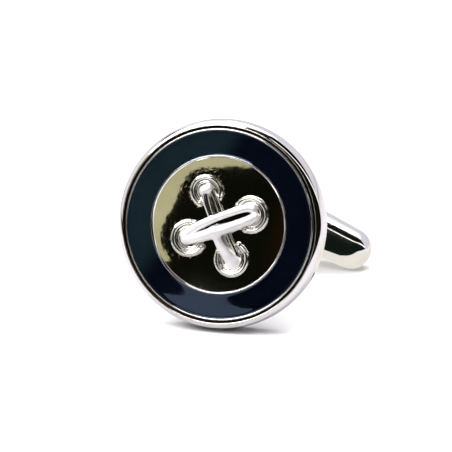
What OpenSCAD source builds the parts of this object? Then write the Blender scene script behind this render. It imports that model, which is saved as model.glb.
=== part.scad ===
// Round swivel-bar cufflink, standing on its rim as it does when it is put down on a table.
// It rests on three points: the rim, the lower rivet of its fork and one end of its bar.
// The pieces are drawn face up (+Z out of the face), then leaned back and set on the table.

/* [Head] */
// Outer diameter of the round head
head_d = 19; // [18:0.5:21]
// Depth of the head from the edge of its dish to its flat back
head_depth = 3.2; // [2.8:0.1:4]
// Width of the metal rim outside the enamel
rim_w = 1; // [1:0.05:1.3]
// Width of the enamel ring
enamel_w = 2.23; // [1.9:0.01:2.3]
// Depth of the dish's middle below its raised edge
dish_depth = 0.75; // [0.6:0.05:0.9]

/* [Stitches] */
// Distance of each thread hole from the middle of the dish
hole_r = 3.25; // [3:0.05:3.6]
// Outer radius of the raised ring round each thread hole
eyelet_r = 1.66; // [1.4:0.02:1.8]
// Turn of the stitched cross from level
cross_turn = 20.2; // [0:0.1:45]

/* [Fork and bar] */
// Distance of the bar's hinge behind the edge of the dish
hinge_depth = 21.5; // [20:0.1:23]
// Length of the swivel bar from tip to tip
bar_length = 21.1; // [19:0.1:22]
// Diameter of the swivel bar at its middle
bar_d = 4.6; // [4:0.1:4.6]
// Diameter of the hinge pin
pin_d = 1.6; // [1.2:0.1:2]
// Distance between the tops of the two rivet heads
rivet_span = 10.6; // [10.2:0.1:11]

/* [Hidden] */
$fn = 64;
silver = [0.83, 0.82, 0.80];
navy = [0.03, 0.06, 0.16];

// Gap between pieces that are set in each other, and round the turning pin
seat_gap = 0.02;
running_gap = 0.05;
// Reach of a cutting shape past the face that it opens
past = 1;

// Section of the head, as radius and depth behind the edge of the dish. The rim's side is a belly
// of large radius, and a small bead in front and a rounded edge behind run smoothly into it
belly_r = 6.5;
belly_depth = 1.7;
belly_at = head_d / 2 - belly_r;
bead_r = 0.22;
bead_depth = 0.34;
bead_turn = asin((belly_depth - bead_depth) / (belly_r - bead_r));
bead_at = belly_at + (belly_r - bead_r) * cos(bead_turn);
back_round = 0.4;
back_turn = asin((head_depth - back_round - belly_depth) / (belly_r - back_round));
back_at = belly_at + (belly_r - back_round) * cos(back_turn);
lip_w = 0.22;
lip_depth = 0.16;
groove_depth = 0.6;
groove_foot = 0.05;
pocket_depth = 1.1;
wire_w = 0.3;
wire_round = 0.08;
wire_slope = 0.14;
enamel_r = head_d / 2 - rim_w;
wire_r = enamel_r - enamel_w;
dish_r = wire_r - wire_w;
lip_r = enamel_r + lip_w;
dish_sag = dish_depth - wire_slope;
dish_ball_r = (dish_r * dish_r + dish_sag * dish_sag) / (2 * dish_sag);

// Eyelets: an outer ridge, open towards the middle, and a lower ledge that runs on under the threads
ridge_tube = 0.27;
ridge_lift = 0.1;
ridge_end = 0.31;
ledge_tube = 0.19;
ledge_in = 0.65;
ledge_lift = 0.02;
eyelets = [
    // turn of the eyelet, half angle of its opening
    [0, 50],
    [90, 44],
    [180, 50],
    [270, 44],
];
EYELET_TURN = 0;
EYELET_OPEN = 1;
// Threads: two lie over two, and each pair shares a blunt foot in the eyelet at either end
foot_at = 3.65;
foot_depth = 0.7;
foot_ball_r = 0.54;
strands = [
    // turn, sideways bow, rise, radius
    [90, 0.57, 0.38, 0.42],
    [90, -0.5, 0.36, 0.3],
    [0, 0.56, 0.72, 0.38],
    [0, -0.46, 0.74, 0.46],
];
STRAND_TURN = 0;
STRAND_BOW = 1;
STRAND_RISE = 2;
STRAND_R = 3;

// Fork: two arms of D section on a round foot
fork_r = 4.3;
slot_half = 2.35;
foot_r = 5.2;
foot_h = 0.7;
slot_floor = 3.2;
arm_root_half = 2.3;
arm_tip_half = 1.6;
eye_r = 1.95;
rivet_r = 1.3;
rivet_rise = 0.8;
rivet_seat = fork_r - 0.15;
rivet_top = rivet_span / 2;
rivet_ball_r = (rivet_r * rivet_r + rivet_rise * rivet_rise) / (2 * rivet_rise);
rivet_ball_at = rivet_top - rivet_ball_r;

// Bar: a long barrel curve closed by round ends
barrel_r = 105;
bar_end_at = bar_length / 2 - 1.94;
bar_end_r = barrel_r - norm([bar_end_at, barrel_r - bar_d / 2]);
bar_blend_at = bar_end_at * barrel_r / (barrel_r - bar_end_r);

// How far the rim, the lower rivet and the bar's right end reach below the middle of the face
function rim_reach(lean) =
    lean > back_turn
        ? back_at * cos(lean) + (head_depth - back_round) * sin(lean) + back_round
        : belly_at * cos(lean) + belly_depth * sin(lean) + belly_r;
function rivet_cos(lean) =
    (rim_reach(lean) - hinge_depth * sin(lean) - rivet_ball_r) / (rivet_ball_at * cos(lean));
function roll_at(lean) = acos(min(1, rivet_cos(lean)));
function bar_reach(lean) =
    bar_end_at * sin(roll_at(lean)) * cos(lean) + hinge_depth * sin(lean) + bar_end_r;
function rest_lean(low, high, steps) =
    let (mid = (low + high) / 2)
    steps == 0 ? mid
    : bar_reach(mid) > rim_reach(mid) ? rest_lean(low, mid, steps - 1)
    : rest_lean(mid, high, steps - 1);

// Lean of the face and roll of the bar at which all three touch the table
lean = rest_lean(8, 20, 30);
roll = roll_at(lean);
// Front and back ends of the standing cufflink, from the middle of its face
front_end = bead_depth * cos(lean) - bead_at * sin(lean) - bead_r;
back_end = (hinge_depth + eye_r) * cos(lean) + fork_r * cos(roll) * sin(lean);
mid_end = (front_end + back_end) / 2;

function arc(x, y, r, from, to, steps) =
    [for (i = [0 : steps]) let (a = from + (to - from) * i / steps) [x + r * cos(a), y + r * sin(a)]];
function dish_z(r) = dish_ball_r - dish_depth - sqrt(dish_ball_r * dish_ball_r - r * r);

module standing() {
    translate([0, -mid_end, rim_reach(lean)])
        rotate([90 - lean, 0, 0])
            children();
}

module on_hinge() {
    rotate([0, 0, -roll])
        translate([0, 0, -hinge_depth])
            children();
}

// Half section of the head: back, belly of the rim, bead, groove, lip, enamel pocket and wire
module head_section() {
    polygon(concat(
        [[0, -head_depth]],
        arc(back_at, back_round - head_depth, back_round, -90, -back_turn, 5),
        arc(belly_at, -belly_depth, belly_r, 1 - back_turn, bead_turn - 1, 8),
        arc(bead_at, -bead_depth, bead_r, bead_turn, 180, 9),
        [[bead_at - bead_r, groove_foot - groove_depth]],
        [[bead_at - bead_r - groove_foot, -groove_depth]],
        [[lip_r + groove_foot, -groove_depth]],
        [[lip_r, groove_foot - groove_depth]],
        arc(lip_r - lip_w / 2, -lip_depth - lip_w / 2, lip_w / 2, 0, 180, 8),
        [[enamel_r, -pocket_depth]],
        [[wire_r, -pocket_depth]],
        arc(wire_r - wire_round, -wire_round, wire_round, 0, 90, 4),
        arc(dish_r + wire_slope, -wire_slope, wire_slope, 90, 180, 5),
        [[0, -wire_slope]]
    ));
}

module at_hole(turn) {
    rotate([0, 0, turn])
        translate([hole_r, 0, dish_z(hole_r)])
            rotate([0, -asin(hole_r / dish_ball_r), 0])
                children();
}

module eyelet(open) {
    ridge_at = eyelet_r - ridge_tube;
    translate([0, 0, ridge_lift])
        rotate([0, 0, 180 + open])
            rotate_extrude(angle = 360 - 2 * open)
                translate([ridge_at, 0])
                    circle(r = ridge_tube);
    for (side = [-1, 1])
        translate([-ridge_at * cos(open), side * ridge_at * sin(open), ridge_lift])
            sphere(r = ridge_end);
    translate([0, 0, ledge_lift])
        rotate_extrude()
            translate([eyelet_r - ledge_in, 0])
                circle(r = ledge_tube);
}

// One thread: an arc between two feet that leans to the side that it bows to
module strand(row) {
    sagitta = norm([row[STRAND_BOW], row[STRAND_RISE]]);
    arc_r = (foot_at * foot_at + sagitta * sagitta) / (2 * sagitta);
    half_angle = asin(foot_at / arc_r);
    rotate([0, 0, row[STRAND_TURN]])
        translate([0, 0, -foot_depth])
            rotate([90 - atan2(row[STRAND_BOW], row[STRAND_RISE]), 0, 0])
                translate([0, sagitta - arc_r, 0])
                    rotate([0, 0, 90 - half_angle])
                        rotate_extrude(angle = 2 * half_angle)
                            translate([arc_r, 0])
                                circle(r = row[STRAND_R]);
}

module stitches() {
    for (row = eyelets) {
        at_hole(row[EYELET_TURN])
            eyelet(row[EYELET_OPEN]);
        rotate([0, 0, row[EYELET_TURN]])
            translate([foot_at, 0, -foot_depth])
                sphere(r = foot_ball_r);
    }
    for (row = strands)
        strand(row);
}

module dished_head() {
    difference() {
        rotate_extrude()
            head_section();
        translate([0, 0, dish_ball_r - dish_depth])
            sphere(r = dish_ball_r);
    }
}

// Side outline of the arms, along the bar and the depth from the hinge
module arm_outline() {
    root = hinge_depth - head_depth;
    polygon([
        [-arm_root_half, root],
        [-arm_tip_half, 0],
        [arm_tip_half, 0],
        [arm_root_half, root],
    ]);
    circle(r = eye_r);
}

module slot_outline() {
    floor_at = hinge_depth - head_depth - slot_floor;
    polygon(concat(
        arc(0, floor_at - slot_half, slot_half, 0, 180, 12),
        [[-slot_half, -eye_r - past], [slot_half, -eye_r - past]]
    ));
}

module fork() {
    root = hinge_depth - head_depth;
    on_hinge() {
        difference() {
            intersection() {
                translate([0, 0, -eye_r - past])
                    cylinder(r = fork_r, h = root + eye_r + past + foot_h / 2);
                rotate([90, 0, 0])
                    linear_extrude(height = 2 * fork_r + past, center = true)
                        arm_outline();
            }
            rotate([90, 0, 90])
                linear_extrude(height = 2 * foot_r, center = true)
                    slot_outline();
            rotate([90, 0, 0])
                cylinder(r = pin_d / 2 + seat_gap, h = 2 * fork_r + past, center = true);
            for (side = [-1, 1])
                rotate([side * 90, 0, 0])
                    translate([0, 0, rivet_seat])
                        cylinder(r = rivet_r + seat_gap, h = past);
        }
        translate([0, 0, root - foot_h])
            cylinder(r1 = foot_r - foot_h, r2 = foot_r, h = foot_h + foot_h / 2);
    }
}

module head() {
    color(silver)
        standing() {
            union() {
                dished_head();
                fork();
                rotate([0, 0, cross_turn])
                    stitches();
            }
        }
}

module enamel_ring() {
    inner = wire_r + seat_gap;
    outer = enamel_r - seat_gap;
    crown = 0.01;
    inner_depth = 0.13;
    outer_depth = 0.35;
    floor_depth = pocket_depth - seat_gap;
    steps = 6;
    color(navy)
        standing()
            rotate_extrude()
                polygon(concat(
                    [[inner, -floor_depth], [outer, -floor_depth]],
                    [for (i = [0 : steps])
                        let (t = i / steps, depth = outer_depth + (inner_depth - outer_depth) * t)
                        [outer + (inner - outer) * t, 4 * crown * t * (1 - t) - depth]]
                ));
}

module hinge_pin() {
    color(silver)
        standing()
            on_hinge() {
                rotate([90, 0, 0])
                    cylinder(r = pin_d / 2, h = 2 * rivet_seat + past, center = true);
                for (side = [-1, 1])
                    rotate([side * 90, 0, 0])
                        intersection() {
                            translate([0, 0, rivet_ball_at])
                                sphere(r = rivet_ball_r);
                            translate([0, 0, rivet_seat + seat_gap])
                                cylinder(r = rivet_r, h = rivet_top);
                        }
            }
}

module bar_section() {
    half = bar_d / 2;
    blend = asin(bar_blend_at / barrel_r);
    polygon(concat(
        arc(bar_end_at, 0, bar_end_r, 0, 90 - blend, 10),
        arc(0, half - barrel_r, barrel_r, 90 - blend, 90 + blend, 16),
        arc(-bar_end_at, 0, bar_end_r, 90 + blend, 180, 10)
    ));
}

module toggle() {
    color(silver)
        standing()
            on_hinge()
                difference() {
                    rotate([0, 90, 0])
                        rotate_extrude()
                            rotate([0, 0, 90])
                                mirror([0, 1])
                                    bar_section();
                    rotate([90, 0, 0])
                        cylinder(r = pin_d / 2 + running_gap, h = bar_d + past, center = true);
                }
}

head();
enamel_ring();
hinge_pin();
toggle();
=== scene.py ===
import math

import bpy
import numpy as np
from mathutils import Matrix, Vector


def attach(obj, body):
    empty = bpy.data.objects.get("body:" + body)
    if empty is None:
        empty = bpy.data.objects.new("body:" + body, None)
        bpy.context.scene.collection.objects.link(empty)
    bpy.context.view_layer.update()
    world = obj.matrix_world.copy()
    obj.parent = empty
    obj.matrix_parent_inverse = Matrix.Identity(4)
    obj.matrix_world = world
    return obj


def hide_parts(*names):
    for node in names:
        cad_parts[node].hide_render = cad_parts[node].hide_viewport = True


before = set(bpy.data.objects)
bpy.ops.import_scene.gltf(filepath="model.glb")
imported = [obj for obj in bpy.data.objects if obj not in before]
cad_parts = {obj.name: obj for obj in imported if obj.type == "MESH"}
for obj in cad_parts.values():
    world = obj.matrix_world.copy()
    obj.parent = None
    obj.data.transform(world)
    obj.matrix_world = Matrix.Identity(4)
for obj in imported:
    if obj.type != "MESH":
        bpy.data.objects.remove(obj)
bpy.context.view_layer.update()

# Place of the face in the row frame. All shapes below are written in millimetres
MM = 0.001
LEAN = math.radians(13.03233)
ROLL = math.radians(21.04049)
CROSS_TURN = math.radians(20.2)
FACE_AT = np.array([0.0, -10.90160, 9.79959])
HINGE_DEPTH = 21.5
HEAD_DEPTH = 3.2

RIGHT = np.array([1.0, 0.0, 0.0])
UP = np.array([0.0, math.sin(LEAN), math.cos(LEAN)])
OUT = np.array([0.0, -math.cos(LEAN), math.sin(LEAN)])


def turned(angle):
    """Axes of a frame that is turned in the face plane, as the columns of a matrix."""
    along = math.cos(angle) * RIGHT + math.sin(angle) * UP
    across = -math.sin(angle) * RIGHT + math.cos(angle) * UP
    return np.column_stack([along, across, OUT])


FACE = turned(0.0)
CROSS = turned(CROSS_TURN)
BAR = turned(-ROLL)
PIN = np.column_stack([BAR[:, 2], BAR[:, 0], BAR[:, 1]])
HINGE_AT = FACE_AT - HINGE_DEPTH * OUT


# Meshes

def make_object(name, points, faces, normals, axes, origin, per_loop=False):
    """A smooth object from points and normals in a local frame in millimetres."""
    mesh = bpy.data.meshes.new(name)
    world = (np.asarray(points) @ axes.T + origin) * MM
    mesh.from_pydata(world.tolist(), [], [list(f) for f in faces])
    mesh.polygons.foreach_set("use_smooth", np.ones(len(mesh.polygons), bool))
    turned_normals = np.asarray(normals) @ axes.T
    turned_normals /= np.linalg.norm(turned_normals, axis=1, keepdims=True)
    if per_loop:
        mesh.normals_split_custom_set(turned_normals.tolist())
    else:
        mesh.normals_split_custom_set_from_vertices(turned_normals.tolist())
    mesh.update()
    obj = bpy.data.objects.new(name, mesh)
    bpy.context.scene.collection.objects.link(obj)
    return obj


def line(start, end):
    """Straight span of a lathe profile, with its normal on the right of its direction."""
    (r0, z0), (r1, z1) = start, end
    length = math.hypot(r1 - r0, z1 - z0)
    normal = ((z1 - z0) / length, -(r1 - r0) / length)
    return [(r0, z0, *normal), (r1, z1, *normal)]


def arc(centre, radius, start, end, steps, sign=1):
    """Round span of a lathe profile. A sign of -1 makes it a hollow fillet."""
    span = []
    for i in range(steps + 1):
        a = math.radians(start + (end - start) * i / steps)
        span.append((centre[0] + radius * math.cos(a), centre[1] + radius * math.sin(a),
                     sign * math.cos(a), sign * math.sin(a)))
    return span


def tangent_arcs(spans, arcs):
    """A lathe profile carried on by arcs that leave it smoothly: radius, last angle and steps of each."""
    for radius, end, steps in arcs:
        r, z, nr, nz = spans[-1][-1]
        start = math.degrees(math.atan2(nz, nr))
        spans.append(arc((r - radius * nr, z - radius * nz), radius, start, end, steps))
    return spans


def smooth_span(points):
    """Span through many points, with normals from their running slope."""
    pts = np.array(points, float)
    slope = np.gradient(pts, axis=0)
    slope /= np.linalg.norm(slope, axis=1, keepdims=True)
    return [(p[0], p[1], s[1], -s[0]) for p, s in zip(pts, slope)]


# Distance below which two points of a profile are one, and a point is on the axis
TINY = 1e-6


def lathe(name, spans, axes, origin, segments=360):
    """Turned solid from spans that run up on its outside, from axis to axis or in a ring."""
    rows, quads = [], []
    for span in spans:
        for i, row in enumerate(span):
            if not rows or math.hypot(row[0] - rows[-1][0], row[1] - rows[-1][1]) > TINY:
                rows.append(row[:2])
            if i:
                quads.append((len(rows) - 2, len(rows) - 1, span[i - 1][2:], row[2:]))
    if math.hypot(rows[0][0] - rows[-1][0], rows[0][1] - rows[-1][1]) < TINY:
        rows.pop()
        quads = [(a, b % len(rows), na, nb) for a, b, na, nb in quads]
    turn = np.arange(segments) * 2 * math.pi / segments
    cos, sin = np.cos(turn), np.sin(turn)
    on_axis = [r < TINY for r, z in rows]
    points, start = [], []
    for (r, z), single in zip(rows, on_axis):
        start.append(len(points))
        if single:
            points.append((0.0, 0.0, z))
        else:
            points.extend(zip(r * cos, r * sin, np.full(segments, z)))
    faces, normals = [], []
    for a, b, na, nb in quads:
        for j in range(segments):
            k = (j + 1) % segments
            corners = [(a, j, na), (a, k, na), (b, k, nb), (b, j, nb)]
            if on_axis[a]:
                corners.pop(1)
            elif on_axis[b]:
                corners.pop(2)
            faces.append([start[row] + (0 if on_axis[row] else s) for row, s, _ in corners])
            normals.extend((n[0] * cos[s], n[0] * sin[s], n[1]) for _, s, n in corners)
    return make_object(name, points, faces, normals, axes, origin, per_loop=True)


# Solids from a distance field

CORNERS = np.array([[i, j, k] for i in (0, 1) for j in (0, 1) for k in (0, 1)])
EDGES = [(a, b) for a in range(8) for b in range(a + 1, 8)
         if np.abs(CORNERS[a] - CORNERS[b]).sum() == 1]
# Cells along a block, and the distance in cells within which a block's middle counts as near the surface
BLOCK, BLOCK_REACH = 4, 6.5
# Slopes are measured over this share of a cell
PROBE = 0.2
# Points are drawn to the surface this often, by this share of a cell at most
PULLS, PULL_REACH = 3, 0.6
# Least squared slope and least length that a step is divided by
SLOPE_MIN, STEP_MIN = 0.2, 1e-9


def smooth_min(a, b, k):
    """The smaller of two distances, with a fillet of about k where they meet."""
    h = np.maximum(k - np.abs(a - b), 0.0) / k
    return np.minimum(a, b) - h * h * k / 4


def smooth_max(a, b, k):
    return -smooth_min(-a, -b, k)


def gradient(field, p, h):
    g = np.empty_like(p)
    for axis in range(3):
        step = np.zeros(3)
        step[axis] = h
        g[:, axis] = (field(p + step) - field(p - step)) / (2 * h)
    return g


def surface(field, low, high, cell):
    """Points, quads and normals of the zero surface of a distance field."""
    low = np.array(low, float)
    blocks = np.ceil((np.array(high, float) - low) / (cell * BLOCK)).astype(int)
    at = np.indices(blocks).reshape(3, -1).T
    middle = field(low + (at + 0.5) * cell * BLOCK)
    value = middle.reshape(blocks)
    for axis in range(3):
        value = np.repeat(value, BLOCK, axis)
    value = np.pad(value, ((0, 1),) * 3, mode="edge").astype(np.float64)
    near = at[np.abs(middle) < BLOCK_REACH * cell]
    inner = np.indices((BLOCK + 1,) * 3).reshape(3, -1).T
    nodes = (near[:, None, :] * BLOCK + inner[None]).reshape(-1, 3)
    flat = np.unique(np.ravel_multi_index(nodes.T, value.shape))
    nodes = np.array(np.unravel_index(flat, value.shape)).T
    value.reshape(-1)[flat] = field(low + nodes * cell)

    solid = value < 0
    size = np.array(value.shape)
    count = np.zeros(size - 1, int)
    for c in CORNERS:
        count += solid[c[0]:size[0] - 1 + c[0], c[1]:size[1] - 1 + c[1], c[2]:size[2] - 1 + c[2]]
    active = np.argwhere((count > 0) & (count < 8))
    index = np.full(size - 1, -1)
    index[tuple(active.T)] = np.arange(len(active))
    corner = np.stack([value[tuple((active + c).T)] for c in CORNERS], axis=1)
    total, hits = np.zeros((len(active), 3)), np.zeros(len(active))
    for a, b in EDGES:
        va, vb = corner[:, a], corner[:, b]
        cross = (va < 0) != (vb < 0)
        t = np.where(cross, va / np.where(cross, va - vb, 1.0), 0.0)
        total += cross[:, None] * (CORNERS[a] + t[:, None] * (CORNERS[b] - CORNERS[a]))
        hits += cross
    points = low + (active + total / hits[:, None]) * cell

    quads = []
    for axis in range(3):
        sides = [(axis + 1) % 3, (axis + 2) % 3]
        lower = [slice(None)] * 3
        upper = [slice(None)] * 3
        lower[axis], upper[axis] = slice(0, -1), slice(1, None)
        change = solid[tuple(lower)].astype(int) - solid[tuple(upper)].astype(int)
        edge = np.argwhere(change != 0)
        edge = edge[((edge[:, sides] > 0) & (edge[:, sides] < size[sides] - 1)).all(1)]
        facing = change[tuple(edge.T)]
        ring = []
        for offset in ((1, 1), (0, 1), (0, 0), (1, 0)):
            c = edge.copy()
            c[:, sides] -= offset
            ring.append(index[tuple(c.T)])
        ring = np.stack(ring, axis=1)
        ring[facing < 0] = ring[facing < 0][:, ::-1]
        quads.append(ring)

    for _ in range(PULLS):
        g = gradient(field, points, PROBE * cell)
        step = field(points)[:, None] * g / np.maximum((g * g).sum(1, keepdims=True), SLOPE_MIN)
        reach = np.linalg.norm(step, axis=1, keepdims=True)
        points -= step * np.minimum(1.0, PULL_REACH * cell / np.maximum(reach, STEP_MIN))
    return points, np.concatenate(quads), gradient(field, points, PROBE * cell)


# Head

# Sections are drawn as radius and height, with the top of the wire round the dish at height 0
HEAD_R = 9.5
BELLY_R, BELLY_DEPTH = 6.5, 1.7
BELLY_AT = HEAD_R - BELLY_R
BACK_R, BACK_TURN, BACK_AT = 0.4, 10.38886, 9.0
BEAD_TURN, BEAD_ARCS = 10.5, ((0.2, 42, 6), (1.05, 66, 8), (0.06, 180, 10))
LIP_R, LIP_FOOT, LIP_ARCS = 8.72, -0.317, ((0.03, 26, 4), (0.48, 44, 6), (0.07, 180, 12))
GROOVE_DEPTH, POCKET_DEPTH, RIM_FLOOR = 0.6, 1.1, -1.3
ENAMEL_R, WIRE_R, DISH_R = 8.5, 6.27, 5.97
# Wire: rounding of its outer and inner edges, width up to the inner one, and arc of its inner slope
WIRE_ROUND, WIRE_EDGE, WIRE_TOP, SLOPE_ARCS = 0.04, 0.05, 0.08, ((0.57, 150, 6),)
# The dish is part of a ball. Its edge lies a little below the wire's top, and its middle deeper
DISH_EDGE, DISH_DEPTH = 0.14, 0.75
DISH_SAG = DISH_DEPTH - DISH_EDGE
BALL_R = (DISH_R ** 2 + DISH_SAG ** 2) / (2 * DISH_SAG)
# Enamel: gap at its sides and at its floor, and the steps that its top is drawn in
ENAMEL_GAP, ENAMEL_SEAT, ENAMEL_STEPS = 0.004, 0.01, 60
# Height of the enamel at the wire, its fall and bend outwards, and the radius in the middle of the bend
ENAMEL_TOP, ENAMEL_FALL, ENAMEL_BEND, BEND_AT = -0.13, 0.0953, 0.00606, 7.3
# Rise of the enamel's meniscus at the lip and at the wire, and its reach
MENISCUS_OUT, MENISCUS_IN, MENISCUS_REACH = 0.07, 0.02, 0.05


def rim_shell():
    outside = tangent_arcs([
        line((0, -HEAD_DEPTH), (BACK_AT, -HEAD_DEPTH)),
        arc((BACK_AT, BACK_R - HEAD_DEPTH), BACK_R, -90, -BACK_TURN, 10),
        arc((BELLY_AT, -BELLY_DEPTH), BELLY_R, -BACK_TURN, BEAD_TURN, 16),
    ], BEAD_ARCS)
    groove_out, bead_foot = outside[-1][-1][:2]
    half = (groove_out - LIP_R) / 2
    groove_foot = half - GROOVE_DEPTH
    # Lip with a steep outer side, upright at its foot and round towards the enamel
    lip = tangent_arcs([line((LIP_R, groove_foot), (LIP_R, LIP_FOOT))], LIP_ARCS)
    pocket_out = lip[-1][-1][0]
    wire_out, wire_in = WIRE_R - WIRE_ROUND, WIRE_R - WIRE_TOP
    slope = tangent_arcs([arc((wire_in, -WIRE_EDGE), WIRE_EDGE, 90, 130, 5)], SLOPE_ARCS)
    slope_in = slope[-1][-1][0]
    spans = outside + [
        line((groove_out, bead_foot), (groove_out, groove_foot)),
        arc(((groove_out + LIP_R) / 2, groove_foot), half, 0, -180, 12, -1),
        *lip,
        line(lip[-1][-1][:2], (pocket_out, -POCKET_DEPTH)),
        line((pocket_out, -POCKET_DEPTH), (WIRE_R, -POCKET_DEPTH)),
        line((WIRE_R, -POCKET_DEPTH), (WIRE_R, -WIRE_ROUND)),
        arc((wire_out, -WIRE_ROUND), WIRE_ROUND, 0, 90, 8),
        line((wire_out, 0), (wire_in, 0)),
        *slope,
        line(slope[-1][-1][:2], (slope_in, RIM_FLOOR)),
        line((slope_in, RIM_FLOOR), (0, RIM_FLOOR)),
    ]
    return lathe("head_rim", spans, FACE, FACE_AT)


def enamel_height(r, inner, outer):
    """Nearly a cone, a little flatter midway, with a meniscus at each edge."""
    bend = (r - BEND_AT) ** 3 - (WIRE_R - BEND_AT) ** 3
    z = ENAMEL_TOP - ENAMEL_FALL * (r - WIRE_R) - ENAMEL_BEND * bend
    z += MENISCUS_OUT * math.exp(-(outer - r) / MENISCUS_REACH)
    return z + MENISCUS_IN * math.exp(-(r - inner) / MENISCUS_REACH)


def enamel_fill():
    inner, outer, floor = WIRE_R + ENAMEL_GAP, ENAMEL_R - ENAMEL_GAP, -POCKET_DEPTH + ENAMEL_SEAT
    radii = [outer + (inner - outer) * i / ENAMEL_STEPS for i in range(ENAMEL_STEPS + 1)]
    top = [(r, enamel_height(r, inner, outer)) for r in radii]
    spans = [
        line((inner, floor), (outer, floor)),
        line((outer, floor), top[0]),
        smooth_span(top),
        line(top[-1], (inner, floor)),
    ]
    return lathe("enamel_fill", spans, FACE, FACE_AT)


def thread(ends, at, *rows):
    """Ends of a thread and the curves of its side, height and radius, each from values and a degree."""
    return (ends, *(np.polynomial.Polynomial.fit(at, values, degree) for values, degree in rows))


# Places along the threads of the stitches where their side, height and radius are given
LEVEL_AT = [-3.5, -2.8, -1.5, 0, 1.5, 2.8, 3.5]
TOP_AT = [0.2, 1, 2, 3, 3.5]
THICK_AT = [-3.7, -3, -2, -1.2, -0.4]
THIN_AT = [-3.6, -3, -2.2, -1.2, -0.7]
THREADS = {
    "upper": thread((-3.5, 3.4), LEVEL_AT,
                    ([-0.05, 0.17, 0.48, 0.63, 0.74, 0.69, 0.50], 5),
                    ([-0.58, -0.38, -0.08, 0.03, -0.08, -0.36, -0.56], 4),
                    ([0.33, 0.36, 0.36, 0.32, 0.31, 0.33, 0.31], 4)),
    "lower": thread((-3.5, 3.4), LEVEL_AT,
                    ([-0.38, -0.53, -0.54, -0.53, -0.48, -0.38, -0.27], 5),
                    ([-0.54, -0.34, -0.06, 0.05, -0.06, -0.36, -0.56], 4),
                    ([0.38, 0.42, 0.50, 0.47, 0.44, 0.40, 0.34], 5)),
    "top_left": thread((0.6, 3.5), TOP_AT,
                       ([-0.40, -0.46, -0.51, -0.45, -0.38], 4),
                       ([-0.30, -0.30, -0.36, -0.48, -0.55], 4),
                       ([0.34, 0.35, 0.36, 0.38, 0.36], 3)),
    "top_right": thread((0.6, 3.5), TOP_AT,
                        ([0.42, 0.42, 0.40, 0.22, 0.06], 4),
                        ([-0.40, -0.38, -0.42, -0.51, -0.56], 4),
                        ([0.26, 0.27, 0.28, 0.30, 0.32], 3)),
    "bottom_thick": thread((-3.7, -0.4), THICK_AT,
                           ([0.20, -0.02, -0.33, -0.46, -0.50], 4),
                           ([-0.56, -0.40, -0.18, -0.04, 0.02], 4),
                           ([0.58, 0.53, 0.42, 0.37, 0.42], 4)),
    "bottom_thin": thread((-3.6, -0.7), THIN_AT,
                          ([0.68, 0.72, 0.63, 0.53, 0.50], 3),
                          ([-0.60, -0.54, -0.47, -0.43, -0.42], 3),
                          ([0.20, 0.21, 0.21, 0.21, 0.21], 2)),
}
# Blunt feet where threads go into their hole: two ends, depth and radius
FEET = [
    ((-3.34, -0.14), (-3.34, -0.40), -0.56, 0.42),
    ((3.42, 0.42), (3.44, -0.14), -0.56, 0.28),
    ((-0.46, 3.32), (-0.04, 3.38), -0.52, 0.50),
    ((0.06, -3.56), (0.40, -3.58), -0.60, 0.52),
]
# Eyelets: turn, distance from the middle, offset to the side, size, half angle of the opening
EYELETS = [
    (0, 3.04, 0.04, 1.0, 50),
    (90, 3.21, 0.30, 0.88, 46),
    (180, 3.12, 0.38, 0.98, 50),
    (270, 3.29, 0.14, 0.96, 44),
]
# Hoops of each eyelet: radius, lift, radius of the wire and of its blunt ends
RIDGE = (1.47, 0.09, 0.185, 0.22)
LEDGE = (1.02, 0.05, 0.13, 0.15)
# Fillets of the stitches, by the parts that they join
TEE_FILLET, LEVEL_FILLET, FOOT_FILLET, THREAD_FILLET = 0.32, 0.05, 0.28, 0.07
HOOP_END_FILLET, HOOP_FILLET, EYELET_FILLET, PLATE_FILLET = 0.08, 0.03, 0.06, 0.07
# Height of the faint waves that casting leaves on the stitches
CAST_WAVE = 0.012
# The dish and its stitches are one plate that tucks under the wire, with a flat bottom
PLATE_R = DISH_R + 0.13
PLATE_FLOOR = -1.0
# Corners and cell of the grid that the plate is meshed in
PLATE_GRID = ((-6.48, -6.48, -1.16), (6.48, 6.48, 0.8), 0.06)
# Marks for the material: height where relief begins and rise over which it grows to full, width over
# which the threads' satin ends, and reach of the halo round the stitches
RELIEF_FROM, RELIEF_RISE, SATIN_EDGE, HALO_REACH = 0.02, 0.10, 0.12, 0.30


def strand(along, across, z, ends, side, height, radius):
    """Distance to a thread whose place and thickness follow smooth curves of its length."""
    s = np.clip(along, *ends)
    slope = np.sqrt(1 + side.deriv()(s) ** 2 + height.deriv()(s) ** 2)
    off = np.hypot(across - side(s), z - height(s)) / slope
    return np.hypot(off, along - s) - radius(s)


def dish_height(r):
    return BALL_R - DISH_DEPTH - math.sqrt(BALL_R ** 2 - r ** 2)


def dish_field(p):
    """Distance above the metal of the dish, without its relief."""
    off = p - np.array([0, 0, BALL_R - DISH_DEPTH])
    return BALL_R - np.sqrt((off ** 2).sum(1))


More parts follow.
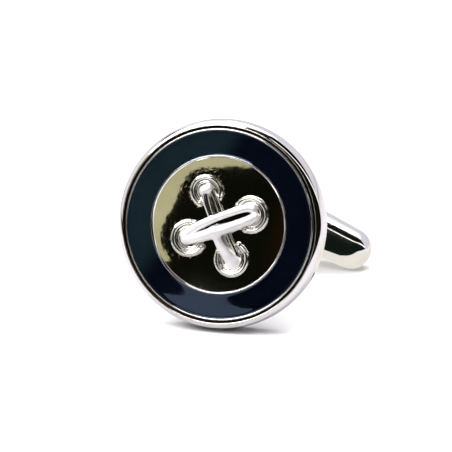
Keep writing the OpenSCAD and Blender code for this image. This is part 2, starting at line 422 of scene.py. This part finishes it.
def eyelet_field(a, b, z, turn, distance, offset, size, half_open):
    t = math.radians(turn)
    x = math.cos(t) * a + math.sin(t) * b - distance
    y = -math.sin(t) * a + math.cos(t) * b - offset
    w = z - dish_height(distance)
    tip = math.asin(distance / BALL_R)
    x, w = math.cos(tip) * x + math.sin(tip) * w, -math.sin(tip) * x + math.cos(tip) * w
    r = np.hypot(x, y)
    opening = math.radians(half_open)
    inside = np.abs(np.arctan2(y, -x)) < opening

    def hoop(radius, lift, tube, end_tube):
        """A round wire bent to a C, with blunt ends."""
        radius *= size
        end_x, end_y = -radius * math.cos(opening), radius * math.sin(opening)
        end = np.sqrt((x - end_x) ** 2 + (np.abs(y) - end_y) ** 2 + (w - lift) ** 2)
        bent = np.where(inside, end, np.hypot(r - radius, w - lift)) - tube
        return smooth_min(bent, end - end_tube, HOOP_END_FILLET)

    return smooth_min(hoop(*RIDGE), hoop(*LEDGE), HOOP_FILLET)


def foot_field(p, start, end, depth, radius):
    s, e = np.array([*start, depth]), np.array([*end, depth])
    d = e - s
    t = np.clip(((p - s) @ d) / (d @ d), 0, 1)
    return np.sqrt(((p - s - t[:, None] * d) ** 2).sum(1)) - radius


def broad_field(p):
    """The two level threads, the thick one that leaves them, and the blunt feet."""
    a, b, z = p.T
    lower, upper = strand(a, b, z, *THREADS["lower"]), strand(a, b, z, *THREADS["upper"])
    tee = smooth_min(lower, strand(b, a, z, *THREADS["bottom_thick"]), TEE_FILLET)
    found = smooth_min(tee, upper, LEVEL_FILLET)
    for row in FEET:
        found = smooth_min(found, foot_field(p, *row), FOOT_FILLET)
    return found


def thin_field(p):
    a, b, z = p.T
    found = strand(b, a, z, *THREADS["top_left"])
    for name in ("top_right", "bottom_thin"):
        found = smooth_min(found, strand(b, a, z, *THREADS[name]), THREAD_FILLET)
    return found


def eyelets_field(p):
    a, b, z = p.T
    return np.minimum.reduce([eyelet_field(a, b, z, *row) for row in EYELETS])


def stitch_field(p):
    a, b, z = p.T
    threads = smooth_min(broad_field(p), thin_field(p), THREAD_FILLET)
    found = smooth_min(threads, eyelets_field(p), EYELET_FILLET)
    return found + CAST_WAVE * np.sin(2.3 * a + 0.7) * np.sin(3.1 * b + 1.3 * z)


def plate_field(p):
    metal = smooth_min(dish_field(p), stitch_field(p), PLATE_FILLET)
    return np.maximum(metal, np.maximum(np.hypot(p[:, 0], p[:, 1]) - PLATE_R, PLATE_FLOOR - p[:, 2]))


def close_flat(points, quads, level):
    """Points in use and faces, with the faces of the flat bottom replaced by a single one."""
    bottom = (points[quads][:, :, 2] < level).all(1)
    kept = quads[~bottom]
    edges = {(f[i], f[(i + 1) % 4]): True for f in kept for i in range(4)}
    loose = {b: a for a, b in edges if (b, a) not in edges}
    start = next(iter(loose))
    loop, at = [start], loose[start]
    while at != start:
        loop.append(at)
        at = loose[at]
    used = np.unique(kept)
    new = np.full(len(points), -1)
    new[used] = np.arange(len(used))
    faces = [new[f].tolist() for f in kept]
    faces.append([int(new[v]) for v in loop])
    return used, faces


def stitched_dish():
    low, high, cell = PLATE_GRID
    points, quads, normals = surface(plate_field, low, high, cell)
    points[:, 2] = np.maximum(points[:, 2], PLATE_FLOOR)
    used, faces = close_flat(points, quads, PLATE_FLOOR + cell / 2)
    points, normals = points[used], normals[used]
    obj = make_object("stitched_dish", points, faces, normals, CROSS, FACE_AT)
    broad, thin, eyes = broad_field(points), thin_field(points), eyelets_field(points)
    marks = {
        "relief": np.clip((dish_field(points) - RELIEF_FROM) / RELIEF_RISE, 0, 1),
        "satin": np.clip(0.5 + (np.minimum(thin, eyes) - broad) / SATIN_EDGE, 0, 1),
        "halo": np.exp(-np.maximum(stitch_field(points), 0) / HALO_REACH),
    }
    for name, value in marks.items():
        mark = obj.data.attributes.new(name, "FLOAT", "POINT")
        mark.data.foreach_set("value", value.astype(np.float32))
    return obj


# Fork, pin and bar

# Heights run from the hinge towards the head, whose back is at ROOT
ROOT = HINGE_DEPTH - HEAD_DEPTH
FORK_R, SLOT_HALF, SLOT_FLOOR, FOOT_R, FOOT_H = 4.3, 2.35, 3.2, 5.2, 0.7
# Arms: half widths at root and tip, the cosine of their taper, and the radius of their eyes
ARM_ROOT, ARM_TIP, ARM_TAPER, EYE_R = 2.3, 1.6, 0.9993, 1.95
# Fillets and rounded edges of the fork, and how far it reaches into the head
EYE_FILLET, ARM_ROUND, SLOT_ROUND, ROOT_FILLET = 0.5, 0.45, 0.35, 0.8
FOOT_EDGE, FOOT_ROUND, FORK_SINK = 0.1, 0.2, 0.25
# Cosine of the 45 degrees that the foot's side leans
FOOT_SLANT = 0.7071
RIVET_R, RIVET_RISE, RIVET_SEAT, RIVET_TOP, PIN_R, PIN_GAP = 1.3, 0.8, 4.15, 5.3, 0.8, 0.02
RIVET_BALL = (RIVET_R ** 2 + RIVET_RISE ** 2) / (2 * RIVET_RISE)
# Bar: barrel of a large radius, which runs into a ball at each end
BARREL_R, BAR_END_AT, BAR_END_R, BAR_HALF_D = 105.0, 8.61, 1.93972, 2.3
BAR_BLEND = BAR_END_AT * BARREL_R / (BARREL_R - BAR_END_R)
BORE_R, BORE_ROUND = 0.85, 0.12
# Corners and cells of the grids that the fork and the bar are meshed in
FORK_GRID = ((-5.6, -5.6, -2.4), (5.6, 5.6, 19.5), 0.13)
BAR_GRID = ((-10.9, -2.7, -2.7), (10.9, 2.7, 2.7), 0.1)


def fork_field(p):
    x, y, z = p.T
    half = ARM_TIP + (ARM_ROOT - ARM_TIP) * np.clip(z / ROOT, 0, 1)
    side = np.maximum((np.abs(x) - half) * ARM_TAPER, -z)
    outline = smooth_min(side, np.hypot(x, z) - EYE_R, EYE_FILLET)
    arms = smooth_max(np.hypot(x, y) - FORK_R, outline, ARM_ROUND)
    floor_at = ROOT - SLOT_FLOOR
    slot = np.where(z < floor_at, np.abs(y) - SLOT_HALF, np.hypot(y, z - floor_at) - SLOT_HALF)
    arms = smooth_max(arms, -slot, SLOT_ROUND)
    foot = (np.hypot(x, y) - (FOOT_R - ROOT + z)) * FOOT_SLANT
    foot = smooth_max(foot, np.hypot(x, y) - FOOT_R, FOOT_EDGE)
    foot = smooth_max(foot, ROOT - FOOT_H - z, FOOT_ROUND)
    metal = smooth_min(arms, foot, ROOT_FILLET)
    metal = np.maximum(metal, -(np.hypot(x, z) - PIN_R - PIN_GAP))
    seat = np.maximum(RIVET_SEAT - np.abs(y), np.hypot(x, z) - RIVET_R - PIN_GAP)
    return np.maximum(np.maximum(metal, -seat), z - ROOT - FORK_SINK)


def bar_fork():
    points, quads, normals = surface(fork_field, *FORK_GRID)
    return make_object("bar_fork", points, quads.tolist(), normals, BAR, HINGE_AT)


def rivet_pin():
    edge = math.degrees(math.asin((RIVET_BALL - RIVET_RISE) / RIVET_BALL))
    ball_at, edge_at, seat = RIVET_TOP - RIVET_BALL, RIVET_TOP - RIVET_RISE, RIVET_SEAT + PIN_GAP
    spans = [
        arc((0, -ball_at), RIVET_BALL, -90, -edge, 16),
        line((RIVET_R, -edge_at), (RIVET_R, -seat)),
        line((RIVET_R, -seat), (PIN_R, -seat)),
        line((PIN_R, -seat), (PIN_R, seat)),
        line((PIN_R, seat), (RIVET_R, seat)),
        line((RIVET_R, seat), (RIVET_R, edge_at)),
        arc((0, ball_at), RIVET_BALL, edge, 90, 16),
    ]
    return lathe("rivet_pin", spans, PIN, HINGE_AT, 96)


def bar_field(p):
    x, y, z = p.T
    rho = np.hypot(y, z)
    ax = np.abs(x)
    barrel = np.hypot(ax, rho + BARREL_R - BAR_HALF_D) - BARREL_R
    end = np.hypot(ax - BAR_END_AT, rho) - BAR_END_R
    body = np.where(ax < BAR_BLEND, barrel, end)
    return smooth_max(body, -(np.hypot(x, z) - BORE_R), BORE_ROUND)


def swivel_bar():
    points, quads, normals = surface(bar_field, *BAR_GRID)
    return make_object("swivel_bar", points, quads.tolist(), normals, BAR, HINGE_AT)


# Materials

# Move of a noise for each step of its seed, and the values that a noise mostly lies between
SEED_MOVE = (3.1, 1.7, 2.3)
NOISE_LOW, NOISE_HIGH = 0.35, 0.65


def node_tree(name):
    material = bpy.data.materials.new(name)
    material.use_nodes = True
    nodes, links = material.node_tree.nodes, material.node_tree.links
    return material, nodes, links, nodes["Principled BSDF"]


def put(links, value, socket):
    """Gives an input a number or a colour, or links an output to it."""
    if isinstance(value, (int, float)):
        socket.default_value = value
    elif isinstance(value, tuple):
        socket.default_value = (*value, 1)
    else:
        links.new(value, socket)


def place_of(nodes):
    """Place of a point in the row frame, in metres."""
    return nodes.new("ShaderNodeTexCoord").outputs["Object"]


def attribute(nodes, name):
    mark = nodes.new("ShaderNodeAttribute")
    mark.attribute_name = name
    return mark.outputs["Fac"]


def noise(nodes, links, coordinate, scale, detail, seed):
    """Noise of so many waves a millimetre, moved off its centre by a seed."""
    place = nodes.new("ShaderNodeMapping")
    place.inputs["Location"].default_value = tuple(seed * move for move in SEED_MOVE)
    place.inputs["Scale"].default_value = (1 / MM,) * 3
    links.new(coordinate, place.inputs["Vector"])
    texture = nodes.new("ShaderNodeTexNoise")
    texture.inputs["Scale"].default_value = scale
    texture.inputs["Detail"].default_value = detail
    links.new(place.outputs["Vector"], texture.inputs["Vector"])
    return texture.outputs["Fac"]


def spread(nodes, links, value, low, high):
    """A noise drawn out to a range."""
    span = nodes.new("ShaderNodeMapRange")
    span.inputs["From Min"].default_value = NOISE_LOW
    span.inputs["From Max"].default_value = NOISE_HIGH
    span.inputs["To Min"].default_value = low
    span.inputs["To Max"].default_value = high
    links.new(value, span.inputs["Value"])
    return span.outputs["Result"]


def ramp(nodes, links, value, start, end):
    """0 below the start, 1 above the end and a soft step between them."""
    node = nodes.new("ShaderNodeMapRange")
    node.interpolation_type = "SMOOTHSTEP"
    node.inputs["From Min"].default_value = start
    node.inputs["From Max"].default_value = end
    links.new(value, node.inputs["Value"])
    return node.outputs["Result"]


def blend(nodes, links, share, first, second, kind="RGBA"):
    """Blend of two colours, or of two values with the kind FLOAT."""
    mix = nodes.new("ShaderNodeMix")
    mix.data_type = kind
    links.new(share, mix.inputs["Factor"])
    put(links, first, mix.inputs["A"])
    put(links, second, mix.inputs["B"])
    return mix.outputs["Result"]


def calculate(nodes, links, operation, *values):
    """Result of a maths node. Each value is a number or an output."""
    node = nodes.new("ShaderNodeMath")
    node.operation = operation
    for i, value in enumerate(values):
        put(links, value, node.inputs[i])
    return node.outputs["Value"]


def vector_maths(nodes, links, operation, first, second=None):
    """Result of a vector maths node: a vector, or a value where the operation gives one."""
    node = nodes.new("ShaderNodeVectorMath")
    node.operation = operation
    links.new(first, node.inputs[0])
    if second is not None:
        node.inputs[1].default_value = [float(c) for c in second]
    return node.outputs["Value" if operation in ("DOT_PRODUCT", "LENGTH") else "Vector"]


def bump(nodes, links, shader, layers):
    """Stacked bumps, each a height of 0 to 1 and its depth in millimetres."""
    normal = None
    for height, depth in layers:
        node = nodes.new("ShaderNodeBump")
        node.inputs["Strength"].default_value = 1.0
        node.inputs["Distance"].default_value = depth * MM
        links.new(height, node.inputs["Height"])
        if normal is not None:
            links.new(normal, node.inputs["Normal"])
        normal = node.outputs["Normal"]
    links.new(normal, shader.inputs["Normal"])


# Painted shade, dark brown, in the groove between the lip and the bead: radii over which it begins at the
# lip and ends at the bead, heights over which it ends at the top
GROOVE_IN, GROOVE_OUT, GROOVE_TOP = (LIP_R - 0.06, LIP_R - 0.01), (8.92, 8.95), (-0.30, -0.22)
GROOVE_SHADE_BROWN, GROOVE_SHADE_BLACK = (0.11, 0.078, 0.036), (0.065, 0.045, 0.022)
SILVER, SHADE = (0.90, 0.885, 0.875), (0.83, 0.81, 0.795)
DISH_SILVER, DISH_SHADE = (0.80, 0.785, 0.74), (0.72, 0.70, 0.64)
THREAD_WHITE, THREAD_SHADE = (0.97, 0.955, 0.96), (0.93, 0.915, 0.92)
NAVY, NAVY_SHADE = (0.0009, 0.0015, 0.0040), (0.0013, 0.0020, 0.0052)
TEAL, TEAL_SHADE = (0.0042, 0.0092, 0.0120), (0.0052, 0.0104, 0.0142)
# The enamel's greener side: its direction to the right and up, and distances over which it begins
TEAL_RIGHT, TEAL_UP, TEAL_FROM, TEAL_FULL = -0.839, 0.545, 2.2, 4.2


def painted_groove_shade(nodes, links, where):
    """Share of the painted shade: 1 deep in the groove between the lip and the bead, 0 elsewhere."""
    off = vector_maths(nodes, links, "SUBTRACT", where, FACE_AT * MM)
    height = vector_maths(nodes, links, "DOT_PRODUCT", off, OUT)
    radius = vector_maths(nodes, links, "LENGTH", vector_maths(nodes, links, "CROSS_PRODUCT", off, OUT))
    above = ramp(nodes, links, height, *(MM * h for h in GROOVE_TOP))
    past_lip = ramp(nodes, links, radius, *(MM * r for r in GROOVE_IN))
    past_bead = ramp(nodes, links, radius, *(MM * r for r in GROOVE_OUT))
    low = calculate(nodes, links, "SUBTRACT", 1.0, above)
    inside = calculate(nodes, links, "SUBTRACT", 1.0, past_bead)
    return calculate(nodes, links, "MULTIPLY", low, calculate(nodes, links, "MULTIPLY", past_lip, inside))


def metal(name, seed, smooth, rough, groove=False):
    """Polished plated metal with faint clouding, soft waves and a fine grain, and painted shade in the rim's
    groove where asked.
    """
    material, nodes, links, shader = node_tree(name)
    shader.inputs["Metallic"].default_value = 1.0
    where = place_of(nodes)
    cloud = spread(nodes, links, noise(nodes, links, where, 0.35, 3, seed), 0, 1)
    fine = noise(nodes, links, where, 6.0, 4, seed + 1)
    colour = blend(nodes, links, cloud, SILVER, SHADE)
    gloss = spread(nodes, links, fine, smooth, rough)
    if groove:
        # Painted shade in the groove: its colour is blended to dark brown and black, and its roughness is
        # raised
        deep = painted_groove_shade(nodes, links, where)
        colour = blend(nodes, links, deep, colour, blend(nodes, links, cloud, GROOVE_SHADE_BROWN, GROOVE_SHADE_BLACK))
        gloss = blend(nodes, links, deep, gloss, spread(nodes, links, fine, 0.35, 0.55), "FLOAT")
    links.new(colour, shader.inputs["Base Color"])
    links.new(gloss, shader.inputs["Roughness"])
    wave = noise(nodes, links, where, 0.9, 1, seed + 2)
    grain = noise(nodes, links, where, 14.0, 3, seed + 3)
    bump(nodes, links, shader, [(wave, 0.004), (grain, 0.0004)])
    return material


def stitched_metal(name):
    """Polished dish with crisp eyelets, satin threads and the uneven skin of a casting round them."""
    material, nodes, links, shader = node_tree(name)
    shader.inputs["Metallic"].default_value = 1.0
    where = place_of(nodes)
    relief, satin, halo = (attribute(nodes, mark) for mark in ("relief", "satin", "halo"))
    cloud = spread(nodes, links, noise(nodes, links, where, 0.35, 3, 2), 0, 1)
    fine = noise(nodes, links, where, 6.0, 4, 3)
    plain = blend(nodes, links, cloud, DISH_SILVER, DISH_SHADE)
    raised = blend(nodes, links, cloud, THREAD_WHITE, THREAD_SHADE)
    threads = calculate(nodes, links, "MULTIPLY", relief, satin)
    links.new(blend(nodes, links, threads, plain, raised), shader.inputs["Base Color"])
    mirror = spread(nodes, links, fine, 0.03, 0.06)
    crisp = blend(nodes, links, relief, mirror, spread(nodes, links, fine, 0.11, 0.17), "FLOAT")
    gloss = blend(nodes, links, threads, crisp, spread(nodes, links, fine, 0.58, 0.66), "FLOAT")
    links.new(gloss, shader.inputs["Roughness"])
    wave = noise(nodes, links, where, 0.9, 1, 4)
    bare = calculate(nodes, links, "MULTIPLY", halo, calculate(nodes, links, "SUBTRACT", 1.0, relief))
    ripple = calculate(nodes, links, "MULTIPLY", noise(nodes, links, where, 2.5, 3, 5), bare)
    bump(nodes, links, shader, [(wave, 0.004), (ripple, 0.045)])
    return material


def enamel(name):
    """Hard navy enamel, greener towards its upper left, with a slight flow in its surface."""
    material, nodes, links, shader = node_tree(name)
    where = place_of(nodes)
    cloud = spread(nodes, links, noise(nodes, links, where, 0.25, 2, 11), 0, 1)
    fine = noise(nodes, links, where, 9.0, 3, 12)
    way = (TEAL_RIGHT * RIGHT + TEAL_UP * UP) / MM
    middle = float(way @ FACE_AT) * MM
    along = vector_maths(nodes, links, "DOT_PRODUCT", where, way)
    side = ramp(nodes, links, along, middle + TEAL_FROM, middle + TEAL_FULL)
    deep = blend(nodes, links, cloud, NAVY, NAVY_SHADE)
    green = blend(nodes, links, cloud, TEAL, TEAL_SHADE)
    links.new(blend(nodes, links, side, deep, green), shader.inputs["Base Color"])
    links.new(spread(nodes, links, fine, 0.02, 0.05), shader.inputs["Roughness"])
    shader.inputs["IOR"].default_value = 1.65
    shader.inputs["Specular Tint"].default_value = (0.50, 0.70, 1.0, 1)
    flow = noise(nodes, links, where, 0.5, 1, 13)
    skin = noise(nodes, links, where, 3.0, 2, 14)
    bump(nodes, links, shader, [(flow, 0.008), (skin, 0.0006)])
    return material


# The rim's metal carries painted shade in its groove
RIM_METAL = metal("rim_polish", 1, 0.04, 0.08, groove=True)
DISH_METAL = stitched_metal("dish_polish")
FORK_METAL = metal("fork_polish", 3, 0.07, 0.14)
PIN_METAL = metal("pin_polish", 4, 0.08, 0.16)
BAR_METAL = metal("bar_polish", 5, 0.05, 0.10)
ENAMEL = enamel("navy_enamel_gloss")

PIECES = [
    (rim_shell, RIM_METAL, "link", "head", "polished_metal"),
    (stitched_dish, DISH_METAL, "link", "head", "polished_metal"),
    (bar_fork, FORK_METAL, "link", "head", "polished_metal"),
    (enamel_fill, ENAMEL, "link", "enamel_ring", "navy_enamel"),
    (rivet_pin, PIN_METAL, "link", "hinge_pin", "pin_metal"),
    (swivel_bar, BAR_METAL, "bar", "toggle", "bar_metal"),
]
for build, material, body, node, slot in PIECES:
    piece = build()
    piece.data.materials.append(material)
    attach(piece, body)
    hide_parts(node)


# Studio

PAPER, PAPER_SHADE = (0.90, 0.90, 0.905), 0.985
# Reflections see the paper darker than the camera does, as beside an overexposed background
PAPER_MIRRORED, PAPER_MIRRORED_SHADE = (0.46, 0.45, 0.465), (0.445, 0.435, 0.45)
# Darks of the room, of its left and of the cards beside the bar
ROOM_DARK, ROOM_BROWN, BAR_DARK = (0.004, 0.0045, 0.0022), (0.013, 0.0065, 0.0022), (0.006, 0.010, 0.008)
# Lower and upper colours of the pale wall and of the backdrop
WALL_LOW, WALL_HIGH = (0.86, 0.84, 0.88), (0.90, 0.88, 0.84)
BACKDROP_LOW, BACKDROP_HIGH = (0.76, 0.74, 0.82), (1.15, 1.14, 1.15)
WHITE, OLIVE, CREAM, WARM_WHITE = (1.0, 1.0, 1.0), (0.95, 0.90, 0.55), (0.94, 0.91, 0.83), (1, 1, 0.96)


def paper(name):
    material, nodes, links, shader = node_tree(name)
    cloud = spread(nodes, links, noise(nodes, links, place_of(nodes), 0.6, 4, 21), 0, 1)
    seen = blend(nodes, links, cloud, PAPER, tuple(c * PAPER_SHADE for c in PAPER))
    mirrored = blend(nodes, links, cloud, PAPER_MIRRORED, PAPER_MIRRORED_SHADE)
    glossy = nodes.new("ShaderNodeLightPath").outputs["Is Glossy Ray"]
    links.new(blend(nodes, links, glossy, seen, mirrored), shader.inputs["Base Color"])
    shader.inputs["Roughness"].default_value = 0.9
    shader.inputs["Specular IOR Level"].default_value = 0.1
    return material


def glow(name, colour, strength, one_sided):
    """Light of an even colour. A one-sided one is clear from its front."""
    material, nodes, links, shader = node_tree(name)
    nodes.remove(shader)
    light = nodes.new("ShaderNodeEmission")
    light.inputs["Color"].default_value = (*colour, 1)
    light.inputs["Strength"].default_value = strength
    shown = light.outputs["Emission"]
    if one_sided:
        mix = nodes.new("ShaderNodeMixShader")
        links.new(nodes.new("ShaderNodeNewGeometry").outputs["Backfacing"], mix.inputs["Fac"])
        links.new(nodes.new("ShaderNodeBsdfTransparent").outputs["BSDF"], mix.inputs[1])
        links.new(shown, mix.inputs[2])
        shown = mix.outputs["Shader"]
    links.new(shown, nodes["Material Output"].inputs["Surface"])
    return material


def sheet(name, corners, material):
    """Flat studio sheet through corners in millimetres."""
    mesh = bpy.data.meshes.new(name)
    mesh.from_pydata([[c * MM for c in corner] for corner in corners], [], [list(range(len(corners)))])
    mesh.materials.append(material)
    obj = bpy.data.objects.new(name, mesh)
    bpy.context.scene.collection.objects.link(obj)
    return obj


def card(name, corners, colour, strength=1.0, one_sided=False):
    """Sheet that is seen only in reflections."""
    obj = sheet(name, corners, glow(name, colour, strength, one_sided))
    obj.visible_camera = False
    obj.visible_diffuse = False
    obj.visible_transmission = False
    obj.visible_volume_scatter = False
    obj.visible_shadow = False


def towards(azimuth, elevation, distance):
    """Point in millimetres in a direction from the middle of the face."""
    a, e = math.radians(azimuth), math.radians(elevation)
    way = np.array([math.sin(a) * math.cos(e), -math.cos(a) * math.cos(e), math.sin(e)])
    return (FACE_AT + distance * way).tolist()


def on_dome(distance, *directions):
    return [towards(azimuth, elevation, distance) for azimuth, elevation in directions]


def level(height, *points):
    return [(x, y, height) for x, y in points]


def upright(y, *points):
    return [(x, y, z) for x, z in points]


sheet("floor", level(0, (-900, -900), (900, -900), (900, 900), (-900, 900)), paper("floor_paper"))
# Black flag on the table in front, with a bay that leaves white the part that the enamel sees
card("dark_floor", level(0.4, (-900, -45), (-20, -45), (-25, -57), (-28, -65), (-24, -68), (-20, -66),
                         (-15, -60), (-8, -51), (0, -43), (10, -40), (900, -40), (900, -900), (-900, -900)),
     ROOM_DARK)
# Olive crescent that the dish sees, in a plane between the dish's view and the enamel's
card("olive_card", upright(-55.9, (-18.6, 4.0), (-17.3, 4.6), (-14.5, 5.2), (-13.0, 5.5), (-11.3, 5.9),
                           (-9.5, 6.7), (-7.1, 7.5), (-5.0, 8.7), (-3.2, 12.1), (-1.0, 16.3), (-0.4, 19.3),
                           (-0.7, 20.8), (-1.4, 22.0), (-2.1, 23.2), (-2.0, 24.1), (-0.6, 24.2), (0.6, 23.4),
                           (2.2, 20.0), (2.6, 16.4), (1.9, 13.0), (0.3, 10.0), (-1.8, 6.8), (-5.0, 4.4),
                           (-8.2, 3.2), (-11.5, 2.6), (-15.2, 2.8)), OLIVE, 0.60)
# The bar sees an upright black flag before it, the dark of the head's shade and pale table round itself
SHADE_EDGE = ((2.5, 5.6), (6.5, 5.6), (7.1, 3.9), (9, 2.56), (10.6, 1))
card("bar_flag", upright(1.0, (2.5, 0), (10.6, 0), (12.8, 0.9), (19.4, 2.8), (36, 5.0), (60, 8), (60, 12),
                         (2.5, 12)), BAR_DARK, one_sided=True)
card("dark_shade", level(0.03, *SHADE_EDGE, (2.5, 1)), BAR_DARK)
card("pale_table", level(0.03, *SHADE_EDGE, (18, 1), (18, 16), (2.5, 16)), CREAM)
# Light from above: a strip that bends down to the right, and a panel cut short of what the bar sees
card("long_strip", on_dome(420, (27.5, 63), (28, 56), (33, 55), (50, 47), (70, 33), (96, 3), (101, 5),
                           (75, 37), (54, 50), (37, 59), (32, 63)), WARM_WHITE, 1.6)
card("overhead", level(420, (-250, -150), (-60, -150), (115, -30), (115, 42), (-250, 42)), WHITE, 1.3)
# Flag below the front side of the panel, which ends before the strip begins
card("corner_flag", on_dome(300, (-8, 48), (25, 48), (25, 72), (2, 72), (-9, 62)), ROOM_DARK)


def studio_world():
    """Room with a white backdrop behind the object, dark before it and pale at the far left."""
    made = bpy.data.worlds.new("studio")
    made.use_nodes = True
    nodes, links = made.node_tree.nodes, made.node_tree.links
    way = nodes.new("ShaderNodeSeparateXYZ")
    links.new(nodes.new("ShaderNodeTexCoord").outputs["Generated"], way.inputs["Vector"])
    x, y, z = way.outputs
    left = calculate(nodes, links, "MULTIPLY", x, -1.0)
    dark = blend(nodes, links, ramp(nodes, links, left, 0.44, 0.66), ROOM_DARK, ROOM_BROWN)
    wall = blend(nodes, links, ramp(nodes, links, z, 0.0, 0.5), WALL_LOW, WALL_HIGH)
    before = blend(nodes, links, ramp(nodes, links, left, 0.74, 0.80), dark, wall)
    behind = blend(nodes, links, ramp(nodes, links, z, 0.66, 0.76), BACKDROP_LOW, BACKDROP_HIGH)
    room = blend(nodes, links, ramp(nodes, links, y, 0.08, 0.11), before, behind)
    direct = nodes.new("ShaderNodeLightPath").outputs["Is Camera Ray"]
    links.new(blend(nodes, links, direct, room, WHITE), nodes["Background"].inputs["Color"])
    nodes["Background"].inputs["Strength"].default_value = 1.0
    return made


bpy.context.scene.world = studio_world()


def softbox(name, azimuth, elevation, distance, width, depth, watts):
    light = bpy.data.lights.new(name, "AREA")
    light.shape = "RECTANGLE"
    light.size = width * MM
    light.size_y = depth * MM
    light.energy = watts
    obj = bpy.data.objects.new(name, light)
    obj.location = Vector(towards(azimuth, elevation, distance)) * MM
    aim = Vector(FACE_AT.tolist()) * MM - obj.location
    obj.rotation_euler = aim.to_track_quat("-Z", "Y").to_euler()
    bpy.context.scene.collection.objects.link(obj)
    return obj


softbox("front_light", -34, 52, 420, 420, 300, 2.5)
softbox("back_light", 165, 70, 450, 240, 200, 0.8)
softbox("fill_light", 0, 89, 420, 600, 600, 2.0).visible_glossy = False

# Camera at the photograph's angle, moved a little to the right and down to place the object in the picture
AZ, EL, CAMERA_DISTANCE = math.radians(14.0), math.radians(17.3), 300.0
CAMERA_RIGHT, CAMERA_UP, LENS = 0.70, -0.11, 266.0
back = Vector((math.sin(AZ) * math.cos(EL), -math.cos(AZ) * math.cos(EL), math.sin(EL)))
right = Vector((math.cos(AZ), math.sin(AZ), 0))
up = back.cross(right)
lens = bpy.data.cameras.new("photo_camera")
lens.sensor_width = 36.0
lens.lens = LENS
lens.clip_start = 0.01
lens.clip_end = 10.0
camera = bpy.data.objects.new("photo_camera", lens)
place = Vector(FACE_AT.tolist()) + CAMERA_DISTANCE * back + CAMERA_RIGHT * right + CAMERA_UP * up
camera.matrix_world = Matrix((
    (right.x, up.x, back.x, place.x * MM),
    (right.y, up.y, back.y, place.y * MM),
    (right.z, up.z, back.z, place.z * MM),
    (0, 0, 0, 1),
))
bpy.context.scene.collection.objects.link(camera)
bpy.context.scene.camera = camera
bpy.context.scene.view_settings.view_transform = "Standard"
